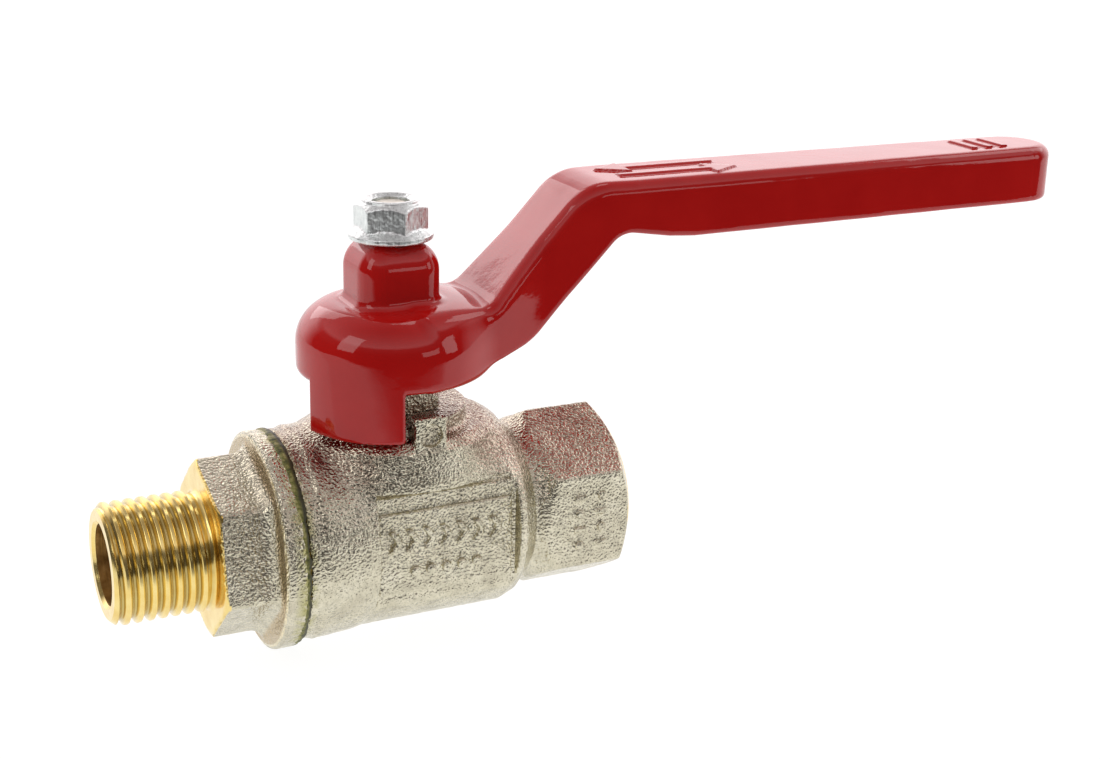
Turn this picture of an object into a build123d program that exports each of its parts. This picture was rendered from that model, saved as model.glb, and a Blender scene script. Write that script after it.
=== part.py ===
from build123d import *
import os
from math import asin, cos, radians, sin, sqrt, tan

# Two-piece brass ball valve, size 1/4 inch, with a male inlet, a female outlet and a long lever.
# Millimetres. The origin is the centre of the ball, where the flow axis and the stem axis cross.
# +X is the way from the male end to the female end, +Z goes up the stem, and the lever points
# along +X when the valve is open. Each function returns one physical piece where it sits when open.

os.makedirs("parts", exist_ok=True)

# --- pipe threads, G 1/4 to ISO 228: the real helix is drawn as rings of the same profile
THREAD_MAJOR_R = 13.157 / 2
THREAD_MINOR_R = 11.445 / 2
THREAD_PITCH = 25.4 / 19
THREAD_CREST = 0.24  # width of the flat on top of each ridge

# --- places along the flow axis
INLET_X = -32.6  # end of the male thread
THREAD_END_X = -23.0  # last full ridge of the male thread
CONNECTOR_HEX_X = -21.9  # machined face of the connector's hexagon
FLANGE_X = -16.1  # turned face of the round flange, behind the hexagon
FLANGE_RIM_X = -15.8
CONNECTOR_JOINT_X = -13.9  # back of the flange
BODY_JOINT_X = -13.5  # end face of the body, with the sealant bead between
SPIGOT_END_X = -8.3
NOSE_END_X = -5.5
PASSAGE_END_X = 13.6  # where the outlet waterway starts to open out
THREAD_RELIEF_X = 14.6
FEMALE_THREAD_X = (15.6, 24.7)  # first and last groove
OUTLET_HEX_X = 15.6
OUTLET_X = 26.0  # end of the female thread

# --- radii about the flow axis
BORE_R = 4.0
BALL_R = 7.5
CAVITY_R = 8.1
NOSE_R = 8.0
SPIGOT_R = 9.95
SPIGOT_HOLE_R = 10.0
FLANGE_R = 12.0
FLANGE_FACE_R = 11.5
BEAD_R = 12.4
COLLAR_R = 11.8
BARREL_OUTLINE = (  # (x, radius) from the collar's end to inside the outlet hexagon
    (-6.6, 11.5), (-5.6, 11.25), (10.4, 11.35), (11.8, 10.85), (13.0, 9.6), (13.7, 8.8), (16.6, 9.1))
FORGING_RISE = 0.3  # how far the forged outside sits above the machined axis
NECK_R = 8.8
THREAD_NECK_R = 6.2
CONNECTOR_FLATS = 17.2  # across flats
CONNECTOR_HEX_TURN = 18.4  # degrees that the screwed-in hexagon stopped past upright
OUTLET_FLATS = 18.65
OUTLET_FACE_R = 7.9  # flat part of the outlet's end face
OUTLET_FACE_SLOPE = 32  # degrees of the turned corners around it
OUTLET_BACK_SLOPE = 50
MOUTH_CHAMFER = 0.3  # how far the female thread's mouth opens past the thread
INLET_CHAMFER = 0.5

# --- seats
SEAT_POCKET_R = 6.8
SEAT_R = 6.75
SEAT_HOLE_R = 4.3
SEAT_BACK = 7.6  # distance of each pocket's floor from the ball's centre
SEAT_FRONT = 4.9
BALL_CLEARANCE = 0.06

# --- flat pads with a framed panel on both sides of the barrel
PAD_Y = 9.3
PAD_X = (-5.5, 10.9)
PAD_HALF_HEIGHT = 7.0
PANEL_PROUD = 0.4
PANEL_X = (-5.2, 10.3)
PANEL_HALF_HEIGHT = 4.7

# --- stem, from the ball's slot up to the lever nut
SLOT_FLOOR_Z = 5.2
SLOT_WIDTH = 3.0
TANG_WIDTH = 2.9
TANG_LENGTH = 5.8
TANG_BOTTOM_Z = 5.45
STEM_SHOULDER_R = 4.6
STEM_SHOULDER_Z = (7.8, 9.2)
THRUST_WASHER_TOP_Z = 9.9
STEM_R = 3.0
STEM_HOLE_R = 3.06
COUNTERBORE_R = 4.7
PACKING_FLOOR_Z = 11.0
PACKING_TOP_Z = 13.2
PACKING_R = 4.95
CHAMBER_R = 5.0
STEM_FLATS = 4.6
STEM_FLATS_Z = 23.6
STEM_THREAD_R = 2.0
STEM_THREAD_Z = 32.3
STEM_TOP_Z = 36.3

# --- boss around the stem and its two stops
BOSS_TOP_Z = 14.0
BOSS_R = 8.1
SHOULDER_X_OFFSET = 0.7  # the shoulder under the boss stands a little towards the outlet
SHOULDER_R = 10.3
SHOULDER_TOP_Z = 12.2
SHOULDER_FOOT_R = 11.0
SHOULDER_FOOT_Z = 8.0
LUG_X = (-1.2, 2.4)
LUG_Y = (7.6, 10.0)
LUG_BOTTOM_Z = 10.8
LUG_TOP_Z = 15.1

# --- gland nut
GLAND_FLATS = 10.0
GLAND_SEAT_Z = 14.1
GLAND_TOP_Z = 16.6

# --- lever
HUB_R = 10.4
HUB_BOTTOM_Z = 17.8
HUB_TOP_Z = 25.6
HUB_DOME_R = 4.5
HUB_CAVITY_R = 8.8
HUB_CAVITY_TOP_R = 6.6
HUB_CAVITY_EDGE_Z = 20.8
SQUARE_BOSS = 9.0
SQUARE_BOSS_CORNER = 2.3
SQUARE_BOSS_EDGE = 2.1
SQUARE_BOSS_TOP_Z = 32.5
TAB_INNER_R = 8.95
TAB_BOTTOM_Z = 12.6
TAB_ANGLES = (-169.0, -103.0)  # degrees about +Z from +X
ARM_TOP_Z = 25.2  # where the arm leaves the hub
ARM_TOP_BEND_X = 9.5
ARM_BOTTOM = ((2.5, HUB_BOTTOM_Z), (10.4, 19.1), (14.4, 20.4))  # (x, z) under the hub
ARM_SLOPE = 46.5  # degrees above level
ARM_START = (12.5, 5.1)  # (x, half width) where the arm's sides leave the hub's flanks
GRIP_START = (24.0, 5.6)
GRIP_TOP_Z = 37.6
GRIP_BEND_BOTTOM_Z = 32.0
GRIP_BOTTOM_START_X = 33.0
GRIP_BOTTOM_Z = 30.8
TIP_HALF_WIDTH = 4.9
TIP_X = 88.3
TOP_BEND_R = 6.5
BOTTOM_BEND_R = 3.0

# --- lever nut, M4 with a flange
NUT_FLATS = 7.0
NUT_SEAT_Z = SQUARE_BOSS_TOP_Z
NUT_FLANGE_R = 4.6
NUT_FLANGE_EDGE = 0.6
NUT_FLANGE_TOP = 1.3
NUT_HEX_TOP_Z = 36.5
NUT_TOP_Z = 36.8
NUT_COLLAR_R = 3.1
NUT_HOLE_R = 2.05
NUT_MOUTH_R = 2.4


def turned(points, axis):
    """A solid of revolution from (along, radius) points, about Axis.X or Axis.Z."""
    if axis == Axis.X:
        places = [(along, 0, radius) for along, radius in points]
    else:
        places = [(radius, 0, along) for along, radius in points]
    return revolve(make_face(Polyline(*places, close=True)), axis)


def rod(start, end, radius, axis=Axis.X):
    """A plain round bar between two places on an axis."""
    return turned([(start, 0), (start, radius), (end, radius), (end, 0)], axis)


def hexagon_bar(start, end, flats, turn, plane):
    """A hexagonal bar along the plane's normal, from start to end."""
    outline = RegularPolygon(flats / 2, 6, major_radius=False, rotation=turn)
    return extrude(plane.offset(start) * outline, end - start)


def chamfer_cone(face, flat_radius, slope, axis, outward):
    """The space under a cone that takes the corners off a hexagon's end at the given face."""
    reach = 8.0
    wide = flat_radius + reach / tan(radians(slope))
    back = face - outward * reach
    far = face - outward * 60
    return turned([(face, 0), (face, flat_radius), (back, wide), (far, wide), (far, 0)], axis)


def thread_rings(start, end, crest_radius, root_radius):
    """(along, radius) points of ridges from start to end, the last ridge ending at end."""
    slope = (THREAD_PITCH - THREAD_CREST) / 2
    count = int((end - start) / THREAD_PITCH)
    points = []
    for index in range(count):
        crest_end = end - (count - 1 - index) * THREAD_PITCH
        crest_start = crest_end - THREAD_CREST
        points += [(crest_start - slope, root_radius), (crest_start, crest_radius)]
        points += [(crest_end, crest_radius)]
    return points


# ---------------------------------------------------------------- pressure parts

def body():
    """Forged body: collar, barrel, stem boss with stops, and the hexagonal female end."""
    outside = turned([(BODY_JOINT_X, 0), (BODY_JOINT_X, COLLAR_R), *BARREL_OUTLINE,
                      (BARREL_OUTLINE[-1][0], 0)], Axis.X)
    outside = Pos(0, 0, FORGING_RISE) * outside + outlet_hexagon()
    outside += stem_boss()
    pad_length = PAD_X[1] - PAD_X[0]
    panel = Box(PANEL_X[1] - PANEL_X[0], 2 * PANEL_PROUD, 2 * PANEL_HALF_HEIGHT)
    for side in (-1, 1):
        waste = Box(pad_length, 6, 2 * PAD_HALF_HEIGHT)
        outside -= Pos(PAD_X[0] + pad_length / 2, side * (PAD_Y + 3), 0) * waste
        outside += Pos(sum(PANEL_X) / 2, side * PAD_Y, 0) * panel
    return outside - flow_passage() - stem_passage()


def outlet_hexagon():
    """Female end: a hexagon with flats at the front and back and both ends turned down."""
    bar = hexagon_bar(OUTLET_HEX_X - 1, OUTLET_X, OUTLET_FLATS, 30, Plane.YZ)
    bar &= chamfer_cone(OUTLET_X, OUTLET_FACE_R, OUTLET_FACE_SLOPE, Axis.X, 1)
    return bar & chamfer_cone(OUTLET_HEX_X - 1, NECK_R, OUTLET_BACK_SLOPE, Axis.X, -1)


def stem_boss():
    """Round boss for the packing on a wider shoulder, and the two square lugs that stop the lever."""
    shoulder = turned([(0, 0), (0, SHOULDER_FOOT_R), (SHOULDER_FOOT_Z, SHOULDER_FOOT_R),
                       (SHOULDER_TOP_Z - 1, SHOULDER_R), (SHOULDER_TOP_Z, SHOULDER_R - 1),
                       (SHOULDER_TOP_Z, 0)], Axis.Z)
    boss = Pos(SHOULDER_X_OFFSET, 0) * shoulder + rod(0, BOSS_TOP_Z, BOSS_R, Axis.Z)
    lug = Box(LUG_X[1] - LUG_X[0], LUG_Y[1] - LUG_Y[0], LUG_TOP_Z - LUG_BOTTOM_Z)
    for side in (-1, 1):
        place = Pos(sum(LUG_X) / 2, side * sum(LUG_Y) / 2, (LUG_TOP_Z + LUG_BOTTOM_Z) / 2)
        boss += place * lug
    return boss


def flow_passage():
    """Everything bored out of the body along the flow axis."""
    passage = turned([(BODY_JOINT_X - 1, 0), (BODY_JOINT_X - 1, SPIGOT_HOLE_R),
                      (SPIGOT_END_X + 0.1, SPIGOT_HOLE_R), (SPIGOT_END_X + 0.1, CAVITY_R),
                      (-NOSE_END_X, CAVITY_R), (-NOSE_END_X, SEAT_POCKET_R),
                      (SEAT_BACK, SEAT_POCKET_R), (SEAT_BACK, BORE_R),
                      (PASSAGE_END_X, BORE_R), (THREAD_RELIEF_X, THREAD_MINOR_R),
                      (OUTLET_X + 1, THREAD_MINOR_R),
                      (OUTLET_X + 1, 0)], Axis.X)
    mouth_r = THREAD_MAJOR_R + MOUTH_CHAMFER
    mouth = turned([(OUTLET_X + 0.01, 0), (OUTLET_X + 0.01, mouth_r),
                    (OUTLET_X - mouth_r + THREAD_MINOR_R, THREAD_MINOR_R),
                    (OUTLET_X - mouth_r + THREAD_MINOR_R, 0)], Axis.X)
    return passage + mouth + female_thread_grooves()


def female_thread_grooves():
    """Ring grooves of the female thread, as one solid of revolution round the bore."""
    first, last = FEMALE_THREAD_X
    half = THREAD_PITCH / 2
    grooves = [(first, 0)]
    for index in range(int((last - first) / THREAD_PITCH)):
        middle = first + (index + 0.5) * THREAD_PITCH
        wide = half - THREAD_CREST / 2
        grooves += [(middle - wide, THREAD_MINOR_R), (middle - THREAD_CREST / 2, THREAD_MAJOR_R)]
        grooves += [(middle + THREAD_CREST / 2, THREAD_MAJOR_R), (middle + wide, THREAD_MINOR_R)]
    grooves += [(last, THREAD_MINOR_R), (last, 0)]
    return turned([grooves[0], (first, THREAD_MINOR_R)] + grooves[1:], Axis.X)


def stem_passage():
    """The stem's counterbore, its hole, and the packing chamber above."""
    return turned([(0, 0), (0, COUNTERBORE_R), (THRUST_WASHER_TOP_Z, COUNTERBORE_R),
                   (THRUST_WASHER_TOP_Z, STEM_HOLE_R), (PACKING_FLOOR_Z, STEM_HOLE_R),
                   (PACKING_FLOOR_Z, CHAMBER_R), (LUG_TOP_Z + 1, CHAMBER_R), (LUG_TOP_Z + 1, 0)],
                  Axis.Z)


def end_connector():
    """Screwed-in male end: pipe thread, hexagon, flange and the nose that holds a seat."""
    thread = thread_rings(INLET_X + 0.2, THREAD_END_X, THREAD_MAJOR_R, THREAD_MINOR_R)
    spindle = turned([(INLET_X, 0), (INLET_X, THREAD_MINOR_R)] + thread
                     + [(THREAD_END_X + 0.3, THREAD_NECK_R), (CONNECTOR_HEX_X + 1, THREAD_NECK_R),
                        (CONNECTOR_HEX_X + 1, 0)], Axis.X)
    hexagon = hexagon_bar(CONNECTOR_HEX_X, FLANGE_RIM_X, CONNECTOR_FLATS,
                          CONNECTOR_HEX_TURN, Plane.YZ)
    flange = turned([(FLANGE_X, 0), (FLANGE_X, FLANGE_FACE_R), (FLANGE_RIM_X, FLANGE_R),
                     (CONNECTOR_JOINT_X, FLANGE_R), (CONNECTOR_JOINT_X, SPIGOT_R),
                     (SPIGOT_END_X, SPIGOT_R), (SPIGOT_END_X, NOSE_R), (NOSE_END_X, NOSE_R),
                     (NOSE_END_X, 0)], Axis.X)
    countersink = turned([(INLET_X - 0.01, 0), (INLET_X - 0.01, BORE_R + INLET_CHAMFER),
                          (INLET_X + INLET_CHAMFER, BORE_R), (NOSE_END_X + 1, BORE_R),
                          (NOSE_END_X + 1, 0)], Axis.X)
    pocket = rod(-SEAT_BACK, NOSE_END_X + 1, SEAT_POCKET_R)
    return spindle + hexagon + flange - countersink - pocket


def sealant_bead():
    """Cured thread sealant squeezed out between the flange and the body."""
    return turned([(CONNECTOR_JOINT_X, SPIGOT_HOLE_R), (CONNECTOR_JOINT_X, BEAD_R - 0.3),
                   ((CONNECTOR_JOINT_X + BODY_JOINT_X) / 2, BEAD_R),
                   (BODY_JOINT_X, BEAD_R - 0.3), (BODY_JOINT_X, SPIGOT_HOLE_R)], Axis.X)


def ball():
    """Floating ball with a straight bore and a driving slot across its top."""
    sphere = Sphere(BALL_R) - rod(-BALL_R - 1, BALL_R + 1, BORE_R)
    slot_height = BALL_R - SLOT_FLOOR_Z + 1
    slot = Box(SLOT_WIDTH, 3 * BALL_R, slot_height)
    return sphere - Pos(0, 0, SLOT_FLOOR_Z + slot_height / 2) * slot


def seat_ring(side):
    """Seat ring behind the ball, on the inlet side (-1) or the outlet side (+1)."""
    face_r = BALL_R + BALL_CLEARANCE
    lip_r = sqrt(face_r ** 2 - SEAT_FRONT ** 2)
    hole_x = sqrt(face_r ** 2 - SEAT_HOLE_R ** 2)
    middle_angle = (asin(lip_r / face_r) + asin(SEAT_HOLE_R / face_r)) / 2
    outer = Polyline((hole_x, 0, SEAT_HOLE_R), (SEAT_BACK, 0, SEAT_HOLE_R), (SEAT_BACK, 0, SEAT_R),
                     (SEAT_FRONT, 0, SEAT_R), (SEAT_FRONT, 0, lip_r))
    middle = (face_r * cos(middle_angle), 0, face_r * sin(middle_angle))
    ball_face = ThreePointArc((SEAT_FRONT, 0, lip_r), middle, (hole_x, 0, SEAT_HOLE_R))
    ring = revolve(make_face([outer, ball_face]), Axis.X)
    return ring if side > 0 else ring.mirror(Plane.YZ)


# ---------------------------------------------------------------- stem and its seals

def stem():
    """Blow-out proof stem: tang, shoulder, shaft, flats for the lever and an M4 thread."""
    shaft = turned([(STEM_SHOULDER_Z[0], 0), (STEM_SHOULDER_Z[0], STEM_SHOULDER_R),
                    (STEM_SHOULDER_Z[1], STEM_SHOULDER_R), (STEM_SHOULDER_Z[1], STEM_R),
                    (STEM_THREAD_Z, STEM_R), (STEM_THREAD_Z, STEM_THREAD_R),
                    (STEM_TOP_Z - 0.5, STEM_THREAD_R), (STEM_TOP_Z, STEM_THREAD_R - 0.5),
                    (STEM_TOP_Z, 0)], Axis.Z)
    flats_height = STEM_THREAD_Z - STEM_FLATS_Z
    for side in (-1, 1):
        waste = Box(10, 4, flats_height)
        shaft -= Pos(0, side * (STEM_FLATS / 2 + 2), STEM_FLATS_Z + flats_height / 2) * waste
    tang_height = STEM_SHOULDER_Z[0] - TANG_BOTTOM_Z
    tang = Box(TANG_WIDTH, TANG_LENGTH, tang_height)
    return shaft + Pos(0, 0, TANG_BOTTOM_Z + tang_height / 2) * tang


def washer(bottom, top, outer):
    """A plain ring round the stem."""
    hole = STEM_HOLE_R
    return turned([(bottom, hole), (bottom, outer), (top, outer), (top, hole)], Axis.Z)


def gland_nut():
    """Hexagonal gland nut that squeezes the packing, with a round threaded end below."""
    head = hexagon_bar(GLAND_SEAT_Z, GLAND_TOP_Z, GLAND_FLATS, 10, Plane.XY)
    head &= chamfer_cone(GLAND_TOP_Z, GLAND_FLATS / 2 - 0.3, 50, Axis.Z, 1)
    nut = head + rod(PACKING_TOP_Z, GLAND_SEAT_Z + 0.5, PACKING_R, Axis.Z)
    return nut - rod(PACKING_TOP_Z - 1, GLAND_TOP_Z + 1, STEM_HOLE_R + 0.04, Axis.Z)


# ---------------------------------------------------------------- lever

def hub():
    """Domed round hub over the stem, with a rounded square boss on top for the nut."""
    dome = rod(HUB_BOTTOM_Z, HUB_TOP_Z, HUB_R, Axis.Z)
    rims = dome.edges().filter_by(GeomType.CIRCLE).sort_by(Axis.Z)
    dome = fillet(rims[-1], HUB_DOME_R)
    dome = fillet(dome.edges().filter_by(GeomType.CIRCLE).sort_by(Axis.Z)[0], 0.7)
    start, bend, foot = ARM_BOTTOM
    under_arm = Polyline((start[0], 0, start[1]), (bend[0], 0, bend[1]), (foot[0], 0, foot[1]),
                         (foot[0], 0, 0), (start[0], 0, 0), close=True)
    dome -= extrude(make_face(under_arm), 2 * HUB_R, both=True)
    boss_height = SQUARE_BOSS_TOP_Z - HUB_TOP_Z + 2
    outline = RectangleRounded(SQUARE_BOSS, SQUARE_BOSS, SQUARE_BOSS_CORNER)
    boss = extrude(Plane.XY.offset(SQUARE_BOSS_TOP_Z - boss_height) * outline, boss_height)
    boss = fillet(boss.faces().sort_by(Axis.Z)[-1].edges(), SQUARE_BOSS_EDGE - 0.2)
    return dome + boss


def arm():
    """Cranked arm and grip: the side outline cut to the width of the top outline."""
    rise = tan(radians(ARM_SLOPE))
    top_bend_x = ARM_TOP_BEND_X + (GRIP_TOP_Z - ARM_TOP_Z) / rise
    start, bend, foot = ARM_BOTTOM
    bottom_bend_x = foot[0] + (GRIP_BEND_BOTTOM_Z - foot[1]) / rise
    corners = [(0, ARM_TOP_Z, 0), (ARM_TOP_BEND_X, ARM_TOP_Z, 2.5),
               (top_bend_x, GRIP_TOP_Z, TOP_BEND_R), (TIP_X, GRIP_TOP_Z, 0),
               (TIP_X, GRIP_BOTTOM_Z, 0), (GRIP_BOTTOM_START_X, GRIP_BOTTOM_Z, 20),
               (bottom_bend_x, GRIP_BEND_BOTTOM_Z, BOTTOM_BEND_R), (*foot, 4), (*bend, 0),
               (*start, 0), (0, start[1], 0)]
    side = FilletPolyline(*[(x, 0, z) for x, z, _ in corners],
                          radius=[radius for _, _, radius in corners], close=True)
    slab = extrude(make_face(side), HUB_R + 1, both=True)
    tip_centre = TIP_X - TIP_HALF_WIDTH
    near_side = [(-2, HUB_R - 0.6), ARM_START, GRIP_START, (tip_centre, TIP_HALF_WIDTH)]
    far_side = [(x, -width) for x, width in reversed(near_side)]
    plan = make_face(Polyline(*near_side, *far_side, close=True))
    plan += Pos(tip_centre, 0) * Circle(TIP_HALF_WIDTH)
    return slab & extrude(plan, 60)


def tab():
    """Curved stop plate that hangs from the hub and strikes the body's stops."""
    ring = rod(TAB_BOTTOM_Z, HUB_BOTTOM_Z + 1.5, HUB_R, Axis.Z)
    ring -= rod(TAB_BOTTOM_Z - 1, HUB_BOTTOM_Z + 2, TAB_INNER_R, Axis.Z)
    reach = 30
    corners = [(0, 0)] + [(reach * cos(radians(a)), reach * sin(radians(a))) for a in TAB_ANGLES]
    return ring & extrude(make_face(Polyline(*corners, close=True)), 60)


def handle():
    """Painted cast lever in one piece: hub, boss, arm, grip and stop plate."""
    cavity = turned([(HUB_BOTTOM_Z - 1, 0), (HUB_BOTTOM_Z - 1, HUB_CAVITY_R),
                     (HUB_CAVITY_EDGE_Z, HUB_CAVITY_R), (STEM_FLATS_Z, HUB_CAVITY_TOP_R),
                     (STEM_FLATS_Z, 0)], Axis.Z)
    stem_hole = rod(STEM_FLATS_Z - 1, 40, STEM_HOLE_R, Axis.Z)
    stem_hole &= Box(10, STEM_FLATS + 0.06, 100)
    return hub() + arm() - cavity + tab() - stem_hole


def handle_nut():
    """M4 flange nut that clamps the lever on the stem."""
    hexagon = hexagon_bar(NUT_SEAT_Z, NUT_HEX_TOP_Z, NUT_FLATS, 31, Plane.XY)
    hexagon &= chamfer_cone(NUT_HEX_TOP_Z, NUT_COLLAR_R, 35, Axis.Z, 1)
    hexagon += rod(NUT_HEX_TOP_Z - 1, NUT_TOP_Z, NUT_COLLAR_R, Axis.Z)
    flange = turned([(NUT_SEAT_Z, 0), (NUT_SEAT_Z, NUT_FLANGE_R),
                     (NUT_SEAT_Z + NUT_FLANGE_EDGE, NUT_FLANGE_R),
                     (NUT_SEAT_Z + NUT_FLANGE_TOP, NUT_FLATS / 2), (NUT_SEAT_Z + NUT_FLANGE_TOP, 0)],
                    Axis.Z)
    hole = turned([(NUT_SEAT_Z - 1, 0), (NUT_SEAT_Z - 1, NUT_HOLE_R),
                   (NUT_TOP_Z - NUT_MOUTH_R + NUT_HOLE_R, NUT_HOLE_R), (NUT_TOP_Z, NUT_MOUTH_R),
                   (NUT_TOP_Z + 1, NUT_MOUTH_R), (NUT_TOP_Z + 1, 0)], Axis.Z)
    return hexagon + flange - hole


PIECES = {
    "body": body(),
    "end_connector": end_connector(),
    "sealant_bead": sealant_bead(),
    "ball": ball(),
    "inlet_seat_ring": seat_ring(-1),
    "outlet_seat_ring": seat_ring(1),
    "stem": stem(),
    "stem_thrust_washer": washer(STEM_SHOULDER_Z[1], THRUST_WASHER_TOP_Z, STEM_SHOULDER_R),
    "lower_packing_ring": washer(PACKING_FLOOR_Z, (PACKING_FLOOR_Z + PACKING_TOP_Z) / 2, PACKING_R),
    "upper_packing_ring": washer((PACKING_FLOOR_Z + PACKING_TOP_Z) / 2, PACKING_TOP_Z, PACKING_R),
    "gland_nut": gland_nut(),
    "handle": handle(),
    "handle_nut": handle_nut(),
}

for name, piece in PIECES.items():
    export_step(piece, f"parts/{name}.step")
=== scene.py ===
from math import cos, pi, radians, sin, tan

import bmesh
import bpy
import numpy as np
from mathutils import Matrix, Vector, noise


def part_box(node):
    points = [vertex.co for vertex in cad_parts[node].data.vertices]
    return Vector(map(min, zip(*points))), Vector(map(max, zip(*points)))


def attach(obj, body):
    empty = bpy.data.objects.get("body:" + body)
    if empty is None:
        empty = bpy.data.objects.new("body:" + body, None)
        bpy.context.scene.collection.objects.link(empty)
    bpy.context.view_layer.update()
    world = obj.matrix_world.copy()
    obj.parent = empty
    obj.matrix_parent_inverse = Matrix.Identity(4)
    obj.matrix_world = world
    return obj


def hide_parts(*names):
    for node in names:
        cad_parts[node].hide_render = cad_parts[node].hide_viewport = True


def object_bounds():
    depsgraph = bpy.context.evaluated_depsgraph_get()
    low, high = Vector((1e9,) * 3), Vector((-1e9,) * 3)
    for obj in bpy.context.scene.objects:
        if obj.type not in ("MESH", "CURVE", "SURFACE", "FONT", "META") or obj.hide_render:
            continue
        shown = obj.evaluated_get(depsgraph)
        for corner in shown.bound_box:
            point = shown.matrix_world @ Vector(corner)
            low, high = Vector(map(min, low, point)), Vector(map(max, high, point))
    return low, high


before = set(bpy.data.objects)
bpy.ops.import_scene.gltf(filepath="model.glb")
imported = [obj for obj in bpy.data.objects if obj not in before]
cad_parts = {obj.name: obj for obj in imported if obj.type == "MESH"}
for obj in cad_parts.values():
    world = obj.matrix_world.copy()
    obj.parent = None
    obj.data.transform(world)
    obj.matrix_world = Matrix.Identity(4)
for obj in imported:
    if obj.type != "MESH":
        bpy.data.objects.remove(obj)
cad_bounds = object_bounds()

# Ball valve, seen from its male end. Shapes are worked out in millimetres in the frame's axes
# (+X along the flow, +Z up the stem, origin at the ball's centre), and meshes are in metres.
# Cast and forged skins are level surfaces of distance functions, which give real fillets.
# Machined cuts are helical and turned cutters, taken out with exact booleans.

MM = 0.001


def box_mm(node):
    """Lowest and highest corner of a CAD node in millimetres."""
    low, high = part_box(node)
    return np.array(low) / MM, np.array(high) / MM


CONNECTOR = box_mm("end_connector")
BODY = box_mm("body")
LEVER = box_mm("handle")
NUT = box_mm("handle_nut")
BEAD = box_mm("sealant_bead")
ROOM = 0.8  # space left round a skin when it is meshed

# --- pipe threads, G 1/4
THREAD_MAJOR_R = 13.157 / 2
THREAD_MINOR_R = 11.445 / 2
THREAD_PITCH = 25.4 / 19
THREAD_WORN_ROOT_R = 5.98  # the male thread is cut shallow
THREAD_ROOT_SHADE_R = 6.4  # and its brass is painted darker below this radius, as shade in the roots
BORE_R = 4.0
SEAT_POCKET_R = 6.8
HEX_FACE_X = -21.95  # where the connector's plated hexagon ends and its turned neck starts


# ---------------------------------------------------------------- distances, negative inside

def outline_distance(points, u, v):
    """Distance from places (u, v) to a closed outline."""
    nearest = np.full(np.broadcast(u, v).shape, 1e9)
    inside = np.zeros(nearest.shape, bool)
    for (au, av), (bu, bv) in zip(points, points[1:] + points[:1]):
        du, dv = bu - au, bv - av
        along = np.clip(((u - au) * du + (v - av) * dv) / (du * du + dv * dv), 0, 1)
        nearest = np.minimum(nearest, np.hypot(u - au - along * du, v - av - along * dv))
        if dv:
            inside ^= ((av > v) != (bv > v)) & (u < du * (v - av) / dv + au)
    return np.where(inside, -nearest, nearest)


def rounded_outline(corners, step=radians(5)):
    """Points of an outline given as (u, v, radius) corners, with an arc at each corner."""
    points = []
    for index, (u, v, radius) in enumerate(corners):
        before = np.array(corners[index - 1][:2], float)
        after = np.array(corners[(index + 1) % len(corners)][:2], float)
        here = np.array((u, v), float)
        if not radius:
            points.append((u, v))
            continue
        back = (before - here) / np.linalg.norm(before - here)
        ahead = (after - here) / np.linalg.norm(after - here)
        half = np.arccos(np.clip(back @ ahead, -1, 1)) / 2
        middle = here + (back + ahead) / np.linalg.norm(back + ahead) * radius / sin(half)
        start = here + back * radius / tan(half) - middle
        turn = pi - 2 * half
        if np.dot((-start[1], start[0]), -back) < 0:
            turn = -turn
        for share in np.linspace(0, 1, max(2, int(abs(turn) / step) + 1)):
            c, s = cos(turn * share), sin(turn * share)
            points.append((middle[0] + c * start[0] - s * start[1],
                           middle[1] + s * start[0] + c * start[1]))
    return points


def block(low, high, edge, x, y, z):
    """Distance to a box with edges of the given radius."""
    gaps = [np.abs(p - (a + b) / 2) - (b - a) / 2 + edge for p, a, b in zip((x, y, z), low, high)]
    beyond = np.sqrt(sum(np.maximum(gap, 0) ** 2 for gap in gaps))
    return beyond + np.minimum(np.maximum(np.maximum(gaps[0], gaps[1]), gaps[2]), 0) - edge


def join(a, b, radius):
    """Union with a concave fillet of the given radius."""
    fillet = np.hypot(np.maximum(radius - a, 0), np.maximum(radius - b, 0))
    return np.maximum(radius, np.minimum(a, b)) - fillet


def meet(a, b, radius):
    """Intersection with an outer edge of the given radius."""
    edge = np.hypot(np.maximum(radius + a, 0), np.maximum(radius + b, 0))
    return np.minimum(-radius, np.maximum(a, b)) + edge


def hexagon(flats, turn, edge, u, v):
    """Distance to a regular hexagon: one flat faces the direction turn, in degrees."""
    corner = (flats / 2 - edge) / cos(pi / 6)
    angles = [radians(turn + 30 + 60 * side) for side in range(6)]
    return outline_distance([(corner * cos(a), corner * sin(a)) for a in angles], u, v) - edge


def cone(face, flat_radius, slope, outward, along, radius):
    """Distance to a cone that takes the corners off the end of a bar at the given face."""
    rise = radians(slope)
    return (radius - flat_radius + outward * (along - face) / tan(rise)) * sin(rise)


# ---------------------------------------------------------------- meshes

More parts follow.
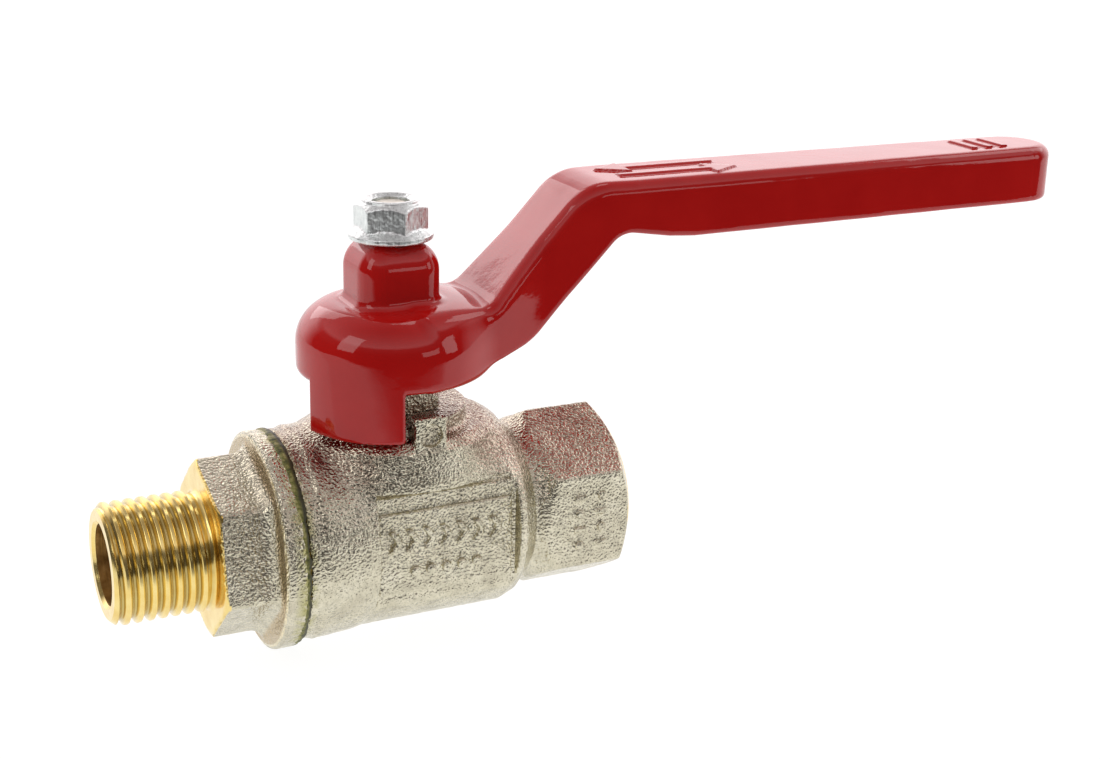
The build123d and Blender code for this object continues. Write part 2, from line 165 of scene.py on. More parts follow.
def level_surface(field, low, high, cell):
    """Points and quads of the surface where field(x, y, z) is zero, in millimetres."""
    counts = [int((b - a) / cell) + 2 for a, b in zip(low, high)]
    axes = [a + cell * np.arange(n) for a, n in zip(low, counts)]
    slabs = [field(axes[0][i:i + 24, None, None], axes[1][None, :, None], axes[2][None, None, :])
             for i in range(0, counts[0], 24)]
    values = np.concatenate([np.broadcast_to(s, (s.shape[0], counts[1], counts[2])) for s in slabs])
    inside = values < 0
    corners = [(i, j, k) for i in (0, 1) for j in (0, 1) for k in (0, 1)]
    shape = [n - 1 for n in counts]

    def at(grid, corner):
        return grid[tuple(slice(c, c + n) for c, n in zip(corner, shape))]

    filled = sum(at(inside, corner).astype(np.int8) for corner in corners)
    cells = np.argwhere((filled > 0) & (filled < 8))
    number = np.full(shape, -1)
    number[tuple(cells.T)] = np.arange(len(cells))
    total = np.zeros((len(cells), 3))
    crossings = np.zeros(len(cells))
    for corner in corners:
        for axis in range(3):
            if corner[axis]:
                continue
            other = tuple(c + (n == axis) for n, c in enumerate(corner))
            a = values[tuple((cells + corner).T)]
            b = values[tuple((cells + other).T)]
            crossed = (a < 0) != (b < 0)
            share = np.where(crossed, a / np.where(crossed, a - b, 1), 0)
            place = cells + corner + share[:, None] * np.eye(3)[axis]
            total += place * crossed[:, None]
            crossings += crossed
    points = np.array(low) + cell * total / crossings[:, None]
    quads = []
    for axis in range(3):
        first, second = [n for n in range(3) if n != axis]
        step = np.eye(3, dtype=int)
        ahead = np.take(inside, range(1, counts[axis]), axis)
        behind = np.take(inside, range(counts[axis] - 1), axis)
        edges = np.argwhere(ahead != behind)
        edges = edges[(edges[:, first] > 0) & (edges[:, second] > 0)]
        ring = [number[tuple((edges - a * step[first] - b * step[second]).T)]
                for a, b in ((0, 0), (1, 0), (1, 1), (0, 1))]
        ring = np.stack(ring, 1)
        flip = ~behind[tuple(edges.T)] ^ (axis == 1)
        ring[flip] = ring[flip][:, ::-1]
        quads.append(ring)
    return points, np.concatenate(quads)


def onto_surface(field, points, cell, rounds=3):
    """Moves points onto the zero surface of a field, never by more than half a cell a round."""
    tiny = 0.01
    for _ in range(rounds):
        x, y, z = points.T
        value = field(x, y, z)
        slope = np.stack([field(x + tiny, y, z) - value, field(x, y + tiny, z) - value,
                          field(x, y, z + tiny) - value], 1) / tiny
        step = slope * (value / np.maximum((slope ** 2).sum(1), 0.2))[:, None]
        length = np.linalg.norm(step, axis=1, keepdims=True)
        points = points - step * np.minimum(1, cell / 2 / np.maximum(length, 1e-9))
    return points


def evened(points, quads):
    """Each point moved halfway to the middle of its neighbours."""
    total = np.zeros_like(points)
    count = np.zeros(len(points))
    for a, b in ((0, 1), (1, 2), (2, 3), (3, 0)):
        for here, there in ((a, b), (b, a)):
            np.add.at(total, quads[:, here], points[quads[:, there]])
            np.add.at(count, quads[:, here], 1)
    return (points + total / count[:, None]) / 2


def new_piece(name, points, faces, material=None):
    """A smooth-shaded mesh object from points in millimetres."""
    mesh = bpy.data.meshes.new(name)
    if isinstance(faces, np.ndarray):
        faces = faces.tolist()
    mesh.from_pydata((np.asarray(points) * MM).tolist(), [], faces)
    mesh.shade_smooth()
    piece = bpy.data.objects.new(name, mesh)
    bpy.context.scene.collection.objects.link(piece)
    if material:
        mesh.materials.append(material)
    return piece


def skin(name, field, low, high, cell, material):
    """A cast or forged piece: the surface of a distance function, meshed finely."""
    points, quads = level_surface(field, low, high, cell)
    points = onto_surface(field, points, cell)
    points = onto_surface(field, evened(points, quads), cell)
    return new_piece(name, points, quads, material)


def lathe(name, outline, segments=96, axis="X"):
    """A closed solid of revolution from (along, radius) points that start and end on the axis."""
    rings = outline[1:-1]
    points = [(outline[0][0], 0, 0), (outline[-1][0], 0, 0)]
    for along, radius in rings:
        for segment in range(segments):
            angle = 2 * pi * segment / segments
            points.append((along, radius * cos(angle), radius * sin(angle)))
    faces = []
    for segment in range(segments):
        following = (segment + 1) % segments
        faces.append((0, 2 + following, 2 + segment))
        for ring in range(len(rings) - 1):
            base = 2 + ring * segments
            faces.append((base + segment, base + following,
                          base + segments + following, base + segments + segment))
        base = 2 + (len(rings) - 1) * segments
        faces.append((base + segment, base + following, 1))
    if axis == "Z":
        points = [(y, z, x) for x, y, z in points]
    piece = new_piece(name, points, faces)
    face_outwards(piece)
    return piece


def face_outwards(piece):
    """Turns every face of a closed piece outwards."""
    mesh = bmesh.new()
    mesh.from_mesh(piece.data)
    bmesh.ops.recalc_face_normals(mesh, faces=mesh.faces)
    mesh.to_mesh(piece.data)
    mesh.free()


def threaded_rod(name, start, end, profile, pitch, segments=96):
    """A right-hand helical thread as a closed rod along X; profile is (along, radius) over a pitch."""
    rows = len(profile)
    turns = int((end - start) / pitch) + 1
    count = rows * turns + 1
    points = []
    for row in range(count):
        along, radius = profile[row % rows]
        for segment in range(segments):
            angle = 2 * pi * segment / segments
            x = start + (row // rows) * pitch + along + pitch * segment / segments
            points.append((x, radius * cos(angle), radius * sin(angle)))
    faces = []
    for row in range(count - 1):
        for segment in range(segments):
            here = row * segments + segment
            if segment < segments - 1:
                faces.append((here, here + 1, here + segments + 1, here + segments))
            elif row + 1 + rows < count:
                seam = (row + rows) * segments
                faces.append((here, seam, seam + segments, here + segments))
    first_rim = list(range(segments)) + [row * segments for row in range(rows, 0, -1)]
    last = (count - 1) * segments
    last_rim = list(range(last, last + segments))
    last_rim += [(count - 1 - row) * segments + segments - 1 for row in range(1, rows + 1)]
    for rim, x in ((first_rim, start - pitch), (last_rim, end + 3 * pitch)):
        points.append((x, 0, 0))
        hub = len(points) - 1
        for a, b in zip(rim, rim[1:] + rim[:1]):
            faces.append((a, b, hub))
    piece = new_piece(name, points, faces)
    face_outwards(piece)
    return piece


def carve(piece, tool, operation):
    """Applies an exact boolean with another closed piece, which is then removed."""
    modifier = piece.modifiers.new(operation, "BOOLEAN")
    modifier.object = tool
    modifier.operation = operation
    modifier.solver = "MANIFOLD"
    made = bpy.data.meshes.new_from_object(
        piece.evaluated_get(bpy.context.evaluated_depsgraph_get()))
    piece.modifiers.clear()
    old = piece.data
    piece.data = made
    bpy.data.meshes.remove(old)
    bpy.data.objects.remove(tool)


def roughen(piece, field_of_amounts):
    """Moves each point along its normal by field_of_amounts(point in mm), in millimetres."""
    mesh = piece.data
    shifts = [field_of_amounts(vertex.co / MM) for vertex in mesh.vertices]
    normals = [vertex.normal.copy() for vertex in mesh.vertices]
    for vertex, normal, shift in zip(mesh.vertices, normals, shifts):
        vertex.co += normal * shift * MM


def finish_piece(piece, body, node, sharp=35):
    """Sets sharp edges, the body that the piece rides on and the CAD node it replaces."""
    mesh = piece.data
    mesh.shade_smooth()
    mesh.set_sharp_from_angle(angle=radians(sharp))
    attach(piece, body)
    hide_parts(node)


# ---------------------------------------------------------------- materials

class Nodes:
    """A small helper to write a material's node tree in a few lines."""

    def __init__(self, name, metallic, roughness):
        self.material = bpy.data.materials.new(name)
        self.material.use_nodes = True
        self.tree = self.material.node_tree
        self.shader = self.tree.nodes["Principled BSDF"]
        self.shader.inputs["Metallic"].default_value = metallic
        self.shader.inputs["Roughness"].default_value = roughness
        self.place = self.tree.nodes.new("ShaderNodeTexCoord").outputs["Object"]

    def add(self, kind, inputs, **settings):
        """A new node with its inputs linked or set; gives its first output."""
        node = self.tree.nodes.new(kind)
        for key, value in settings.items():
            setattr(node, key, value)
        for key, value in inputs.items():
            if isinstance(value, bpy.types.NodeSocket):
                self.tree.links.new(value, node.inputs[key])
            else:
                node.inputs[key].default_value = value
        return node.outputs[0]

    def stretched(self, x, y, z):
        """Object coordinates scaled along each axis."""
        return self.add("ShaderNodeMapping", {"Vector": self.place, "Scale": (x, y, z)})

    def grain(self, size_mm, detail=3, roughness=0.55, place=None):
        """Noise with features of about the given size."""
        return self.add("ShaderNodeTexNoise", {
            "Vector": place or self.place, "Scale": 1 / (size_mm * MM), "Detail": detail,
            "Roughness": roughness})

    def ramp(self, value, *stops):
        """Colours blended between (position, colour) stops."""
        node = self.tree.nodes.new("ShaderNodeValToRGB")
        self.tree.links.new(value, node.inputs[0])
        elements = node.color_ramp.elements
        while len(elements) < len(stops):
            elements.new(0.5)
        for element, (position, colour) in zip(elements, stops):
            element.position = position
            element.color = (*colour, 1)
        return node.outputs[0]

    def level(self, value, low, high, to_low=0.0, to_high=1.0):
        """Maps low to to_low and high to to_high, and holds those values beyond."""
        return self.add("ShaderNodeMapRange", {
            "Value": value, "From Min": low, "From Max": high,
            "To Min": to_low, "To Max": to_high})

    def darkened(self, colour, amount):
        """A colour multiplied by an amount."""
        node = self.tree.nodes.new("ShaderNodeVectorMath")
        node.operation = "SCALE"
        self.tree.links.new(colour, node.inputs[0])
        self.tree.links.new(amount, node.inputs["Scale"])
        return node.outputs[0]

    def coordinate(self, axis):
        node = self.tree.nodes.new("ShaderNodeSeparateXYZ")
        self.tree.links.new(self.place, node.inputs[0])
        return node.outputs[axis]

    def along(self, axis, low, high, to_low=0.0, to_high=1.0):
        """Level of the place along an axis, between two positions in millimetres."""
        return self.level(self.coordinate(axis), low * MM, high * MM, to_low, to_high)

    def aside(self, axis, low, high, to_low=0.0, to_high=1.0):
        """Like along, for the distance from the middle plane."""
        distance = self.add("ShaderNodeMath", {0: self.coordinate(axis)}, operation="ABSOLUTE")
        return self.level(distance, low * MM, high * MM, to_low, to_high)

    def both(self, one, other):
        """Product of two masks."""
        return self.add("ShaderNodeMath", {0: one, 1: other}, operation="MULTIPLY")

    def either(self, one, other):
        """Higher of two masks."""
        return self.add("ShaderNodeMath", {0: one, 1: other}, operation="MAXIMUM")

    def mixed(self, share, colour, other):
        """A colour with another one over it, by a share."""
        node = self.tree.nodes.new("ShaderNodeMix")
        node.data_type = "RGBA"
        self.tree.links.new(share, node.inputs["Factor"])
        self.tree.links.new(colour, node.inputs["A"])
        node.inputs["B"].default_value = other
        return node.outputs["Result"]

    def bump(self, height, depth_mm, under=None):
        """Raises the surface by height, on top of another bump if one is given."""
        inputs = {"Height": height, "Strength": 1.0, "Distance": depth_mm * MM}
        if under:
            inputs["Normal"] = under
        return self.add("ShaderNodeBump", inputs)

    def plug(self, socket, value):
        self.tree.links.new(value, self.shader.inputs[socket])


# Where the body's plate gets painted shade under the lever: heights and half width in millimetres.
PAINTED_SHADE_Z = (5.2, 10.5)
PAINTED_SHADE_HALF_WIDTH = (9.8, 8.8)


def sealant_film(n):
    """Mask of the thin film of sealant that was wiped onto the metal beside the joint."""
    joint = BODY[0][0]
    near = n.both(n.along("X", joint - 1.9, joint - 0.6), n.along("X", joint + 1.1, joint))
    return n.both(near, n.level(n.grain(1.1, 4, 0.65), 0.42, 0.56, 0.0, 0.8))


def turned_band(n, colour, start, end):
    """A turned band with a yellow tinge and a bright brass edge, and a face machined to brass."""
    edge_start, edge_end = end - 0.06, end + 0.06
    brown = n.both(n.along("X", start - 0.2, start), n.along("X", end, edge_start))
    edge = n.both(n.along("X", edge_start, end), n.along("X", end + 0.13, edge_end))
    edge = n.both(edge, n.level(n.grain(1.6, 2), 0.38, 0.6, 0.35, 0.9))
    colour = n.mixed(brown, colour, (0.56, 0.45, 0.28, 1))
    colour = n.mixed(edge, colour, (0.90, 0.79, 0.52, 1))
    machined = n.along("X", HEX_FACE_X + 0.32, HEX_FACE_X + 0.27)
    return n.mixed(machined, colour, (0.88, 0.67, 0.25, 1))


def stem_painted_shade(n, colour, grit):
    """Painted shade round the stem's boss, between the pads: a reddish brown darkening in the grain's
    hollows under the lever, in place of its shadow and dark reflection.
    """
    place = n.both(n.along("Z", *PAINTED_SHADE_Z), n.aside("Y", *PAINTED_SHADE_HALF_WIDTH))
    blotches = n.level(n.grain(2.2, 4, 0.6), 0.3, 0.6, 0.35, 0.85)
    hollows = n.level(grit, 0.42, 0.6, 1.0, 0.4)
    # The reddish brown is painted shade and a painted reflection of the lever's underside.
    return n.mixed(n.both(n.both(place, blotches), hollows), colour, (0.22, 0.13, 0.095, 1))


def nickel(name, band=None):
    """Nickel plate over a sand-blasted forging: warm grey with a sharp glittering grain.

    It carries a film of sealant beside the joint. The connector's plate has a turned band, given
    as (start, end) along the flow axis in millimetres. The other plate has painted shade round the
    stem: a darkening under the lever in place of its shadow and dark red reflection.
    """
    n = Nodes(name, 1.0, 0.2)
    patches = n.grain(3.0, 4, 0.6)
    colour = n.ramp(patches, (0.3, (0.54, 0.50, 0.38)), (0.5, (0.64, 0.60, 0.46)),
                    (0.72, (0.71, 0.67, 0.53)))
    colour = n.darkened(colour, n.level(n.grain(0.9, 3, 0.6), 0.36, 0.55, 0.9, 1.03))
    grit = n.grain(0.29, 0.8)
    # Painted shade in the pits of the grain, with its peaks a touch lighter.
    colour = n.darkened(colour, n.level(grit, 0.30, 0.42, 0.8, 1.04))
    colour = n.mixed(sealant_film(n), colour, (0.40, 0.38, 0.12, 1))
    # The connector gets its turned band; the body gets painted shade under the lever.
    colour = turned_band(n, colour, *band) if band else stem_painted_shade(n, colour, grit)
    n.plug("Base Color", colour)
    n.plug("Roughness", n.level(n.grain(0.5), 0.3, 0.7, 0.11, 0.21))
    n.plug("Normal", n.bump(grit, 0.2))
    return n.material


def brass():
    """Bare turned brass, with fine tool rings round the flow axis and painted shade that darkens the
    thread roots.
    """
    n = Nodes("turned_brass", 1.0, 0.2)
    patches = n.grain(2.5, 3)
    colour = n.ramp(patches, (0.3, (0.84, 0.61, 0.19)), (0.7, (0.93, 0.75, 0.31)))
    radius = n.tree.nodes.new("ShaderNodeVectorMath")
    radius.operation = "LENGTH"
    n.tree.links.new(n.stretched(0, 1, 1), radius.inputs[0])
    # Painted shade: the brass darkens towards the thread roots, except on the end face.
    root = n.level(radius.outputs["Value"], THREAD_WORN_ROOT_R * MM, THREAD_ROOT_SHADE_R * MM, 0.6, 1.0)
    end_face = n.along("X", CONNECTOR[0][0] + 0.5, CONNECTOR[0][0] + 0.4)
    n.plug("Base Color", n.darkened(colour, n.either(root, end_face)))
    n.plug("Roughness", n.level(n.grain(0.6), 0.3, 0.7, 0.13, 0.23))
    rings = n.grain(0.09, 1, 0.5, n.stretched(1, 0.02, 0.02))
    n.plug("Normal", n.bump(rings, 0.006))
    return n.material


def bore_shade_brass():
    """Drilled and rough-turned brass, dull, and painted dark brown as shade inside the bore."""
    n = Nodes("bore_shade_brass", 1.0, 0.45)
    patches = n.grain(1.0, 4)
    n.plug("Base Color", n.ramp(patches, (0.3, (0.20, 0.10, 0.02)), (0.7, (0.38, 0.22, 0.07))))
    rings = n.grain(0.14, 2, 0.5, n.stretched(1, 0.03, 0.03))
    n.plug("Roughness", n.level(rings, 0.3, 0.7, 0.34, 0.55))
    n.plug("Normal", n.bump(rings, 0.02))
    return n.material


def red_paint():
    """Thick glossy red enamel on a casting, slightly wavy."""
    n = Nodes("red_enamel", 0.0, 0.3)
    patches = n.grain(6.0, 3)
    n.plug("Base Color", n.ramp(patches, (0.3, (0.50, 0.004, 0.003)), (0.7, (0.56, 0.007, 0.005))))
    n.shader.inputs["IOR"].default_value = 1.5
    n.shader.inputs["Specular IOR Level"].default_value = 0.0
    n.shader.inputs["Coat Weight"].default_value = 1.0
    n.shader.inputs["Coat IOR"].default_value = 1.52
    n.shader.inputs["Coat Roughness"].default_value = 0.045
    n.plug("Roughness", n.level(n.grain(1.5), 0.3, 0.7, 0.3, 0.45))
    waves = n.bump(n.grain(2.6, 1, 0.4), 0.018)
    peel = n.bump(n.grain(0.45, 2), 0.004, waves)
    n.plug("Normal", peel)
    n.plug("Coat Normal", peel)
    return n.material


def zinc():
    """Bright zinc plate with dark vertical drawing marks on the nut's flats."""
    n = Nodes("bright_zinc", 1.0, 0.25)
    marks = n.grain(0.2, 3, 0.65, n.stretched(1, 1, 0.1))
    plate = n.ramp(n.grain(0.9, 3), (0.3, (0.74, 0.78, 0.77)), (0.7, (0.90, 0.94, 0.92)))
    n.plug("Base Color", n.darkened(plate, n.level(marks, 0.34, 0.46, 0.72, 1.0)))
    n.plug("Roughness", n.level(marks, 0.3, 0.7, 0.28, 0.5))
    n.plug("Normal", n.bump(marks, 0.04, n.bump(n.grain(0.6, 1), 0.12)))
    return n.material


def sealant():
    """Olive thread sealant: mottled yellow and green on the flange side, dark in the joint."""
    n = Nodes("cured_sealant", 0.0, 0.5)
    lumps = n.grain(0.7, 4, 0.7)
    film = n.ramp(lumps, (0.38, (0.05, 0.06, 0.01)), (0.5, (0.19, 0.19, 0.035)),
                  (0.62, (0.42, 0.39, 0.14)))
    joint = BODY[0][0]
    dark = n.along("X", joint - 0.4, joint - 0.1)
    n.plug("Base Color", n.mixed(dark, film, (0.045, 0.045, 0.016, 1)))
    n.plug("Normal", n.bump(n.grain(0.3), 0.08))
    return n.material


def pale_brass():
    """The stem's brass, tinned grey where its end shows in the nut."""
    n = Nodes("tinned_brass", 1.0, 0.3)
    n.plug("Base Color", n.ramp(n.grain(0.7, 3), (0.3, (0.50, 0.47, 0.38)), (0.7, (0.66, 0.64, 0.56))))
    n.plug("Normal", n.bump(n.grain(0.25, 2), 0.03))
    return n.material


def chrome():
    """Polished chrome plate on the ball, with faint seat marks."""
    n = Nodes("chromed_ball", 1.0, 0.08)
    n.plug("Base Color", n.ramp(n.grain(4.0), (0.3, (0.66, 0.67, 0.69)), (0.7, (0.74, 0.75, 0.76))))
    n.plug("Roughness", n.level(n.grain(0.8), 0.3, 0.7, 0.05, 0.12))
    return n.material


def seat_polymer():
    """Waxy white fluoropolymer."""
    n = Nodes("white_polymer", 0.0, 0.45)
    n.plug("Base Color", n.ramp(n.grain(1.5), (0.3, (0.74, 0.74, 0.70)), (0.7, (0.84, 0.84, 0.80))))
    n.shader.inputs["Subsurface Weight"].default_value = 0.2
    n.shader.inputs["Subsurface Scale"].default_value = 0.0008
    n.plug("Normal", n.bump(n.grain(0.3), 0.01))
    return n.material


NICKEL = nickel("nickel")
BRASS = brass()
BORE_SHADE_BRASS = bore_shade_brass()
PALE_BRASS = pale_brass()
RED = red_paint()
ZINC = zinc()
SEALANT = sealant()
CHROME = chrome()
POLYMER = seat_polymer()


# ---------------------------------------------------------------- threads and cutters

def thread_profile(root, crest):
    """(along, radius) points of one pitch of a rolled ridge with a rounded root and a flat crest."""
    p = THREAD_PITCH
    soft = 0.12 * (crest - root)
    return [(0.00 * p, root), (0.14 * p, root + soft), (0.32 * p, crest - soft), (0.39 * p, crest),
            (0.61 * p, crest), (0.68 * p, crest - soft), (0.86 * p, root + soft)]


def thread_blank(name, start, end):
    """The turned bar that the male thread is cut in, with a chamfered end."""
    return lathe(name, [(start, 0), (start, THREAD_MINOR_R + 0.1), (start + 0.15, THREAD_MINOR_R + 0.3),
                        (start + 0.75, THREAD_MAJOR_R), (end, THREAD_MAJOR_R), (end, 0)])


# ---------------------------------------------------------------- end connector

THREAD_END_X = -22.9
NECK_R = 6.2
BORE_MOUTH_R = 4.75
BORE_CHAMFER = 0.35
BORE_SHADE_R = 4.6  # faces nearer to the axis than this are the bore's, and take the brass painted dark as shade
HEX_CONE = (9.0, 24)  # flat radius and slope of the chamfer on the hexagon's face
TURNED_FACE_R = 8.3  # the face is bare brass inside this radius
CONNECTOR_FLATS = 17.2
CONNECTOR_TURN = -11.6  # direction of the hexagon's front flat, from +Y towards +Z
FLANGE_R = CONNECTOR[1][1]
FLANGE_RIM_X = -15.8
FLANGE_X = -16.1
FLANGE_FACE_R = 11.35
CONNECTOR_JOINT_X = BEAD[0][0]
SPIGOT_R = 9.95
NOSE_R = 8.0
SPIGOT_END_X = -8.3
INLET_SEAT_X = -7.6
TURNED_NORMAL_X = -0.25  # a face that looks this much towards the inlet is turned


def connector_forging(x, y, z):
    """Hexagon and flange, with a bevel turned on the flange's edge."""
    radius = np.hypot(y, z)
    bar = hexagon(CONNECTOR_FLATS, CONNECTOR_TURN, 0.7, y, z)
    ends = np.abs(x - (HEX_FACE_X + FLANGE_RIM_X) / 2) - (FLANGE_RIM_X - HEX_FACE_X) / 2
    shape = meet(bar, ends, 0.12)
    shape = meet(shape, cone(HEX_FACE_X, *HEX_CONE, -1, x, radius), 0.1)
    flange = [(FLANGE_X, -5), (FLANGE_X, FLANGE_FACE_R), (FLANGE_RIM_X, FLANGE_R - 0.05),
              (FLANGE_RIM_X + 0.3, FLANGE_R), (CONNECTOR_JOINT_X, FLANGE_R - 0.05),
              (CONNECTOR_JOINT_X, -5)]
    return join(shape, outline_distance(flange, x, radius), 1.6)


def make_connector():
    beside = FLANGE_R + 0.6
    low = (HEX_FACE_X - ROOM, -beside, -beside)
    high = (CONNECTOR_JOINT_X + ROOM, beside, beside)
    plate = nickel("nickel_and_turned_band", (FLANGE_X - 0.1, FLANGE_X + 0.06))
    piece = skin("end_connector_turned", connector_forging, low, high, 0.2, plate)
    piece.data.materials.append(BRASS)
    piece.data.materials.append(BORE_SHADE_BRASS)

    def lumps(place):
        if place.x < HEX_FACE_X + 0.2 or FLANGE_X - 0.2 < place.x < FLANGE_RIM_X:
            return 0
        return 0.03 * noise.fractal(place * 0.7, 0.9, 2.1, 2) + 0.02 * noise.noise(place * 2.0)

    roughen(piece, lumps)
    start = CONNECTOR[0][0]
    spindle = threaded_rod("thread", start - 2 * THREAD_PITCH, THREAD_END_X + 0.2,
                           thread_profile(THREAD_WORN_ROOT_R, THREAD_MAJOR_R), THREAD_PITCH)
    carve(spindle, thread_blank("blank", start, THREAD_END_X), "INTERSECT")
    neck = lathe("neck", [(THREAD_END_X - 1.2, 0), (THREAD_END_X - 1.2, THREAD_MINOR_R - 0.05),
                          (THREAD_END_X - 0.2, NECK_R), (THREAD_END_X + 0.55, NECK_R),
                          (THREAD_END_X + 0.65, NECK_R - 0.06), (THREAD_END_X + 0.75, NECK_R),
                          (HEX_FACE_X - 0.55, NECK_R), (HEX_FACE_X - 0.35, NECK_R + 0.06),
                          (HEX_FACE_X - 0.15, NECK_R + 0.22), (HEX_FACE_X, NECK_R + 0.5),
                          (HEX_FACE_X + 1.5, NECK_R + 0.5), (HEX_FACE_X + 1.5, 0)])
    carve(spindle, neck, "UNION")
    nose = lathe("nose", [(CONNECTOR_JOINT_X - 1, 0), (CONNECTOR_JOINT_X - 1, SPIGOT_R),
                          (SPIGOT_END_X, SPIGOT_R), (SPIGOT_END_X, NOSE_R),
                          (CONNECTOR[1][0], NOSE_R), (CONNECTOR[1][0], 0)])
    carve(piece, spindle, "UNION")
    carve(piece, nose, "UNION")
    bore = lathe("bore", [(start - 1, 0), (start - 1, BORE_MOUTH_R), (start, BORE_MOUTH_R),
                          (start + BORE_CHAMFER, BORE_MOUTH_R - BORE_CHAMFER),
                          (start + 1.6, BORE_R + 0.2), (start + 2.6, BORE_R), (INLET_SEAT_X, BORE_R),
                          (INLET_SEAT_X, SEAT_POCKET_R), (-4, SEAT_POCKET_R), (-4, 0)], segments=192)
    carve(piece, bore, "DIFFERENCE")
    for face in piece.data.polygons:
        middle = face.center / MM
        around = (middle.y ** 2 + middle.z ** 2) ** 0.5
        on_end = around < TURNED_FACE_R or face.normal.x < TURNED_NORMAL_X
        turned_end = middle.x < HEX_FACE_X + 0.9 and on_end
        # Faces inside the bore get the brass painted dark as shade.
        if around < BORE_SHADE_R and middle.x > start + BORE_CHAMFER:
            face.material_index = 2
        else:
            inside = around < SEAT_POCKET_R + 0.1
            face.material_index = int(turned_end or inside or middle.x > CONNECTOR_JOINT_X)
    finish_piece(piece, "valve_body", "end_connector")


make_connector()


# ---------------------------------------------------------------- body

RISE = 0.3  # the forged outside sits this far above the machined axis
COLLAR_R = 11.8
BARREL_R = 11.35
BODY_NECK_R = 8.8
OUTLET_FLATS = 18.65
OUTLET_HEX_X = 14.4
PAD_Y = 9.3
PAD_X = (-5.5, 10.9)
PAD_HALF_HEIGHT = 7.0
PANEL_PROUD = 0.4
PANEL_X = (-5.2, 10.3)
PANEL_HALF_HEIGHT = 4.7
BOSS_R = 8.1
BOSS_TOP_Z = 14.0
LUG_X = (-1.2, 2.4)
LUG_Y = (7.6, 10.0)
LUG_TOP_Z = BODY[1][2]
DIMPLE = (0.6, 13.1, 1.25, 0.5)  # in each lug's face: X, Z, radius and depth
OUTLET_CONE = (7.9, 32)  # flat radius and slope of the chamfer on the hexagon's front
HEX_BACK_CONE = (8.7, 42)  # and on its back
JOINT_HOLE_R = 10.0
CAVITY_X = -8.2
CAVITY_R = 8.1
OUTLET_SEAT_X = (5.5, 7.6)
OUTLET_THREAD_X = 14.6
WASHER_HOLE_R = 4.7
WASHER_TOP_Z = 9.9
STEM_HOLE_R = 3.06
PACKING_Z = 11.0
PACKING_R = 5.0
BODY_OUTLINE = [(BODY[0][0], -5), (BODY[0][0], COLLAR_R - 0.4), (BODY[0][0] + 0.3, COLLAR_R - 0.2),
                (-12.1, COLLAR_R - 0.2), (-11.5, COLLAR_R + 0.05), (-7.0, COLLAR_R - 0.25),
                (-5.9, BARREL_R - 0.05), (10.4, BARREL_R - 0.1),
                (11.8, BARREL_R - 0.6), (13.0, 9.5), (13.8, BODY_NECK_R), (17, 8.9), (17, -5)]
SHOULDER_OUTLINE = [(0, -5), (0, 11.0), (8.0, 11.0), (11.2, 10.3), (12.2, 9.3), (12.2, -5)]


def marks(x, z):
    """Generic raised marks on the panel: a row of flow chevrons over a row of dots."""
    shape = np.full(np.broadcast(x, z).shape, 1e3)
    for index in range(7):
        middle = -3.0 + 1.95 * index
        arm = np.abs(x - middle + 0.7 * np.abs(z - 1.5)) * 0.8 - 0.27
        shape = np.minimum(shape, np.maximum(arm, np.abs(z - 1.5) - 1.25))
    for index in range(5):
        shape = np.minimum(shape, np.hypot(x + 1.1 - 1.8 * index, z + 2.2) - 0.55)
    return shape


def hexagon_marks(x, z):
    """Two columns of small raised dots and dashes on the outlet hexagon's flats."""
    shape = np.full(np.broadcast(x, z).shape, 1e3)
    for column, across in enumerate((18.9, 21.6)):
        for row in range(4):
            height = 2.9 - 1.9 * row
            if (row + column) % 2:
                mark = np.hypot(x - across, z - height) - 0.5
            else:
                mark = np.maximum(np.abs(x - across) - 0.7, np.abs(z - height) - 0.28)
            shape = np.minimum(shape, mark)
    return shape


